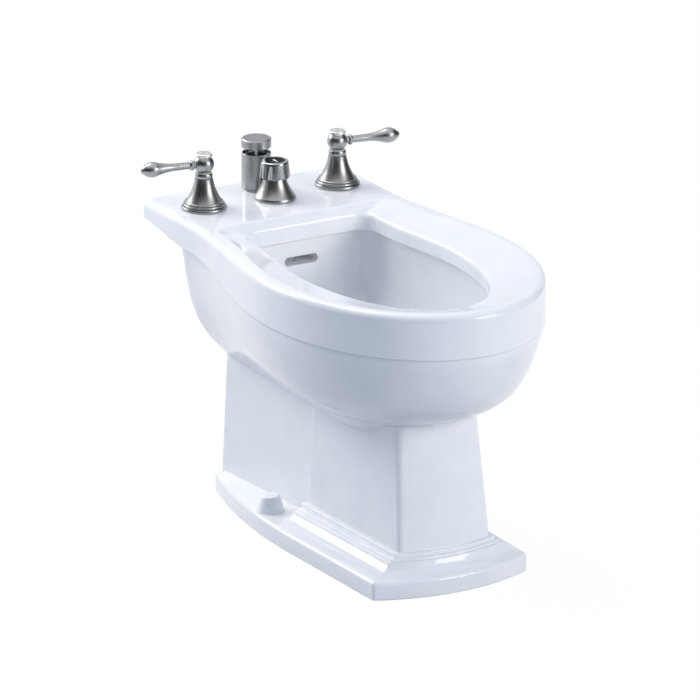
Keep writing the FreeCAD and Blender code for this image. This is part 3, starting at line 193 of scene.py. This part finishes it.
def makeMetal(name):
    # Plated or bare metal finished on a lathe or belt: soft streaks follow the tool marks, and the tone
    # wanders a little. The marks are drawn coarser than life, so that they show at the picture's size.
    look = {**metalPattern, **metalLooks[name]}
    material, tree, shader, place = startMaterial(name, {"Metallic": 1.0})
    scale = [look["along"]] * 3
    scale["XYZ".index(look["across"])] = perMetre(look["line"])
    stretch = addNode(tree, "ShaderNodeMapping", {}, {"Scale": scale}, {"Vector": place})
    marks = addNode(tree, "ShaderNodeTexNoise", {}, {"Scale": 1.0, "Detail": 3.0, "Roughness": 0.6},
                    {"Vector": stretch.outputs["Vector"]}).outputs["Fac"]
    drift = addNode(tree, "ShaderNodeTexNoise", {}, {"Scale": perMetre(look["driftSize"]), "Detail": 2.0},
                    {"Vector": place})
    both = addNode(tree, "ShaderNodeMath", {"operation": "MULTIPLY_ADD"}, {1: look["driftShare"]},
                   {0: drift.outputs["Fac"], 2: marks})
    dress(tree, shader, look, both.outputs["Value"], marks, {"Height": marks})
    return material


mouldedPattern = {"patchSize": 12.0, "toneSpan": (0.35, 0.65), "relief": 0.4}        # size in mm
mouldedLooks = {
    # grain is its size and depth its depth, both in mm
    "blackInlayEnamel": {        # black and low in gloss, in the knob's top
        "tones": ("#0B0B0D", "#141416"), "roughness": (0.3, 0.42),
        "grain": 4.0, "depth": 0.01, "ior": 1.15},
    "mouldedRubber": {        # dark and matt, with a fine mould grain
        "tones": ("#1B1B1C", "#29292A"), "roughness": (0.62, 0.8),
        "grain": 1.2, "depth": 0.05, "ior": 1.52},
    "whiteMouldedCap": {        # glossy white that passes for the china beside it
        "tones": ("#F1F3F5", "#E8ECF0"), "roughness": (0.1, 0.2),
        "grain": 6.0, "depth": 0.01, "ior": 1.49},
    "naturalAcetal": {        # waxy off-white
        "tones": ("#E4E1D8", "#D8D4C8"), "roughness": (0.38, 0.52),
        "grain": 2.5, "depth": 0.02, "ior": 1.48},
    "markEnamel": {        # grey filling of the hot and cold marks
        "tones": ("#54565A", "#66686C"), "roughness": (0.25, 0.4),
        "grain": 1.5, "depth": 0.01, "ior": 1.5},
    "palePointerEnamel": {        # pale bar on the black inlay
        "tones": ("#E9E9E6", "#DADAD6"), "roughness": (0.2, 0.35),
        "grain": 1.5, "depth": 0.01, "ior": 1.5},
}


def makeMoulded(name):
    # Moulded or flowed-on stuff, which takes its skin from the mould: two close tones, patchy gloss and
    # a low grain.
    look = {**mouldedPattern, **mouldedLooks[name]}
    material, tree, shader, place = startMaterial(name, {"IOR": look["ior"]})
    grain = addNode(tree, "ShaderNodeTexNoise", {}, {"Scale": perMetre(look["grain"]), "Detail": 4.0},
                    {"Vector": place}).outputs["Fac"]
    patch = addNode(tree, "ShaderNodeTexNoise", {}, {"Scale": perMetre(look["patchSize"]), "Detail": 3.0},
                    {"Vector": place})
    dress(tree, shader, look, grain, patch.outputs["Fac"], {"Height": grain})
    return material


metals = {name: makeMetal(name) for name in metalLooks}
moulded = {name: makeMoulded(name) for name in mouldedLooks}
finishes = {
    "glazed_china": makeGlaze(),
    "satin_nickel": metals["satinNickelTurned"],
    "index_nickel": metals["paleIndexNickel"],
    "marker_black": moulded["blackInlayEnamel"],
    "bare_brass": metals["turnedBrass"],
    "plated_tube": metals["platedCopperTube"],
    "black_rubber": moulded["mouldedRubber"],
    "cap_white": moulded["whiteMouldedCap"],
    "natural_plastic": moulded["naturalAcetal"],
    "screw_steel": metals["stainlessScrew"],
}
for piece in frame["record"]["subparts"]:
    mesh = nodes[piece["node"]].data
    mesh.materials.clear()
    mesh.materials.append(finishes[piece["material_slot"]])
for side in ("hot", "cold"):        # the levers are turned lengthwise, so their marks run round X
    nodes[side + "_handle"].data.materials[0] = metals["satinNickelLever"]
nodes["diverter_knob"].data.materials[0] = metals["polishedNickelKnob"]
print("bidet: finishes on", len(nodes), "pieces")


# Hot and cold marks: a thin ring and a letter, filled with enamel, on each index cap

indexMark = {
    "letters": {"hot": "H", "cold": "C"},
    "letterSize": 9.0 * mm,
    "letterDepth": 0.12 * mm,
    "ringRadius": 8.0 * mm,
    "ringWidth": 0.7 * mm,
    "ringCorners": 72,
    "proud": 0.08 * mm,
}


def addIndexMark(side):
    low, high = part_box(side + "_index_cap")
    middle = (low + high) / 2
    top = high.z + indexMark["proud"]
    deselectAll()
    bpy.ops.object.text_add(location=(middle.x, middle.y, top - indexMark["letterDepth"]))
    letter = bpy.context.object
    letter.data.body = indexMark["letters"][side]
    letter.data.size = indexMark["letterSize"]
    letter.data.align_x = "CENTER"
    letter.data.align_y = "CENTER"
    letter.data.extrude = indexMark["letterDepth"]
    pick(letter)
    bpy.ops.object.convert(target="MESH")
    letter = settle(bpy.context.object, side + "_letter")
    deselectAll()
    bpy.ops.mesh.primitive_circle_add(vertices=indexMark["ringCorners"], radius=indexMark["ringRadius"],
                                      fill_type="NGON", location=(middle.x, middle.y, top))
    ring = bpy.context.object
    bpy.ops.object.mode_set(mode="EDIT")
    bpy.ops.mesh.select_all(action="SELECT")
    bpy.ops.mesh.inset(thickness=indexMark["ringWidth"])
    bpy.ops.mesh.delete(type="FACE")        # opens the middle
    bpy.ops.mesh.select_all(action="SELECT")
    down = (0, 0, -2 * indexMark["letterDepth"])
    bpy.ops.mesh.extrude_region_move(TRANSFORM_OT_translate={"value": down})
    bpy.ops.mesh.select_all(action="SELECT")
    bpy.ops.mesh.normals_make_consistent(inside=False)
    bpy.ops.object.mode_set(mode="OBJECT")
    ring = settle(ring, side + "_mark_ring")
    for piece in (letter, ring):
        piece.data.materials.clear()
        piece.data.materials.append(moulded["markEnamel"])
        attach(piece, side + "_lever")


for side in indexMark["letters"]:
    addIndexMark(side)
print("bidet: hot and cold marks done")


# Diverter pointer: a small raised bar on the black inlay, towards the nose

pointer = {
    "length": 12.0 * mm, "width": 3.6 * mm, "height": 0.35 * mm,
    "out": 2.0 * mm,        # from the inlay's middle towards the nose
    "taper": 0.35,        # the outer end's share of the width
    "round": 0.15 * mm, "roundSteps": 3, "smoothUnder": 35,        # degrees
}


def addPointer():
    low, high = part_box("diverter_marker")
    middle = (low + high) / 2
    barY = middle.y - pointer["out"]
    deselectAll()
    bpy.ops.mesh.primitive_cube_add(size=1, location=(middle.x, barY, high.z))
    bar = bpy.context.object
    bar.scale = (pointer["width"], pointer["length"], 2 * pointer["height"])
    bar = settle(bar, "diverter_pointer")
    for corner in bar.data.vertices:        # draws the outer end in to a point
        if corner.co.y < barY:
            corner.co.x = middle.x + (corner.co.x - middle.x) * pointer["taper"]
    edge = bar.modifiers.new("softEdge", "BEVEL")
    edge.width = pointer["round"]
    edge.segments = pointer["roundSteps"]
    bpy.ops.object.modifier_apply(modifier=edge.name)
    bpy.ops.object.shade_smooth_by_angle(angle=math.radians(pointer["smoothUnder"]))
    bar.data.materials.append(moulded["palePointerEnamel"])
    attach(bar, "diverter_handle")


addPointer()
print("bidet: diverter pointer done")


# Stage: pale floor, soft lamps, flags that only reflections show, and the camera

stage = {
    "target": Vector((0.0, 0.031, 0.2461)),
    "cameraAzimuth": -29.97, "cameraHeight": 18.69, "cameraFar": 12.008,        # degrees and metres
    "lens": 470.26, "sensor": 36.0, "clipEnd": 100.0,
    "floorHalf": 30.0, "floorDrop": 0.2 * mm, "floorColour": "#A9AEB8",
    "floorShow": 0.87, "floorWhite": 1.1,        # share of plain white that the floor shows, and its strength
    "skyColour": (0.67, 0.78, 1.0, 1.0), "skyStrength": 0.55,
    "flagRadius": 2.2, "flagHeight": 2.6, "flagCorners": 180, "flagBlue": 1.08,
    "flags": [(-126, 4, 0.02), (48, 112, 0.02), (112, 178, 0.65)],        # from and to in degrees, tone
    # name: azimuth, height in degrees, distance, width and depth in metres, share of full white
    "lamps": {
        "rearTop": (-165, 60, 5.0, 2.6, 2.6, 0.34),
        "leftRear": (-150, 28, 5.0, 2.2, 2.2, 0.36),
        "leftNear": (-128, 34, 1.6, 0.8, 0.8, 0.26),
        "rightFront": (28, 18, 5.0, 1.9, 1.9, 0.26),
        "rightSoft": (26, 20, 5.0, 2.6, 2.6, 0.25),
    },
    "lampColour": "#FFFCF6",
    "noGlint": ("leftNear", "rightSoft"),        # hidden from glossy rays, so that no piece mirrors them
}


def aim(azimuth, height, far):        # the point that far from the target, and its turn towards it
    turn, rise = math.radians(azimuth), math.radians(height)
    away = Vector((math.sin(turn) * math.cos(rise), -math.cos(turn) * math.cos(rise), math.sin(rise)))
    return stage["target"] + away * far, away.to_track_quat("Z", "Y").to_euler()


def showWhite(tree):        # one for rays that look at the background, straight or in a reflection
    path = addNode(tree, "ShaderNodeLightPath")
    seen = addNode(tree, "ShaderNodeMath", {"operation": "MAXIMUM"}, {},
                   {0: path.outputs["Is Camera Ray"], 1: path.outputs["Is Glossy Ray"]})
    return addNode(tree, "ShaderNodeMath", {"operation": "MAXIMUM"}, {},
                   {0: seen.outputs["Value"], 1: path.outputs["Is Transmission Ray"]}).outputs["Value"]


def startStageMaterial(name):
    material = bpy.data.materials.new(name)
    material.use_nodes = True
    material.node_tree.nodes.clear()
    return material, material.node_tree


def makeFloor():
    deselectAll()
    bpy.ops.mesh.primitive_plane_add(size=2 * stage["floorHalf"], location=(0, 0, -stage["floorDrop"]))
    floor = settle(bpy.context.object, "studio_floor")
    material, tree = startStageMaterial("paleStudioFloor")
    plain = addNode(tree, "ShaderNodeBsdfDiffuse", {}, {"Color": linear(stage["floorColour"])})
    white = addNode(tree, "ShaderNodeEmission", {}, {"Color": pureWhite, "Strength": stage["floorWhite"]})
    share = addNode(tree, "ShaderNodeMath", {"operation": "MULTIPLY"}, {1: stage["floorShow"]},
                    {0: showWhite(tree)})
    mixed = addNode(tree, "ShaderNodeMixShader", {}, {},
                    {0: share.outputs["Value"], 1: plain.outputs["BSDF"], 2: white.outputs["Emission"]})
    addNode(tree, "ShaderNodeOutputMaterial", {}, {}, {"Surface": mixed.outputs["Shader"]})
    floor.data.materials.append(material)


def makeSky():
    world = bpy.data.worlds.new("studioSky")
    world.use_nodes = True
    bpy.context.scene.world = world
    tree = world.node_tree
    tree.nodes.clear()
    soft = addNode(tree, "ShaderNodeBackground", {},
                   {"Color": stage["skyColour"], "Strength": stage["skyStrength"]})
    white = addNode(tree, "ShaderNodeBackground", {}, {"Color": pureWhite, "Strength": 1.0})
    mixed = addNode(tree, "ShaderNodeMixShader", {}, {},
                    {0: showWhite(tree), 1: soft.outputs["Background"], 2: white.outputs["Background"]})
    addNode(tree, "ShaderNodeOutputWorld", {}, {}, {"Surface": mixed.outputs["Shader"]})


def makeFlag(low, high, tone):
    deselectAll()
    bpy.ops.mesh.primitive_cylinder_add(vertices=stage["flagCorners"], radius=stage["flagRadius"],
                                        depth=stage["flagHeight"], end_fill_type="NOTHING",
                                        location=(0, 0, stage["flagHeight"] / 2))
    flag = settle(bpy.context.object, "studio_flag")
    bpy.ops.object.mode_set(mode="EDIT")
    bpy.ops.mesh.select_all(action="DESELECT")
    bpy.ops.object.mode_set(mode="OBJECT")
    for face in flag.data.polygons:
        turn = math.degrees(math.atan2(face.center.x, -face.center.y))
        face.select = not low <= turn <= high
    bpy.ops.object.mode_set(mode="EDIT")
    bpy.ops.mesh.delete(type="FACE")
    bpy.ops.object.mode_set(mode="OBJECT")
    material, tree = startStageMaterial("flagCloth")
    colour = (tone, tone, tone * stage["flagBlue"], 1)
    cloth = addNode(tree, "ShaderNodeEmission", {}, {"Color": colour, "Strength": 1.0})
    addNode(tree, "ShaderNodeOutputMaterial", {}, {}, {"Surface": cloth.outputs["Emission"]})
    flag.data.materials.append(material)
    for rays in ("camera", "diffuse", "shadow", "transmission"):
        setattr(flag, "visible_" + rays, False)


def makeLamps():
    for name, (azimuth, height, far, wide, deep, level) in stage["lamps"].items():
        lamp = bpy.data.lights.new(name, "AREA")
        lamp.shape = "RECTANGLE"
        lamp.size = wide
        lamp.size_y = deep
        lamp.energy = level * math.pi ** 2 * far ** 2        # so that a surface facing it gets that share
        lamp.color = linear(stage["lampColour"])[:3]
        thing = bpy.data.objects.new(name, lamp)
        bpy.context.scene.collection.objects.link(thing)
        thing.location, thing.rotation_euler = aim(azimuth, height, far)
        thing.visible_glossy = name not in stage["noGlint"]


def makeCamera():
    lens = bpy.data.cameras.new("photoCamera")
    lens.lens = stage["lens"]
    lens.sensor_width = stage["sensor"]
    lens.clip_end = stage["clipEnd"]
    camera = bpy.data.objects.new("photoCamera", lens)
    bpy.context.scene.collection.objects.link(camera)
    camera.location, camera.rotation_euler = aim(stage["cameraAzimuth"], stage["cameraHeight"],
                                                 stage["cameraFar"])
    bpy.context.scene.camera = camera


makeFloor()
makeSky()
for flag in stage["flags"]:
    makeFlag(*flag)
makeLamps()
makeCamera()
bpy.context.scene.view_settings.view_transform = "Standard"
print("bidet: stage set")
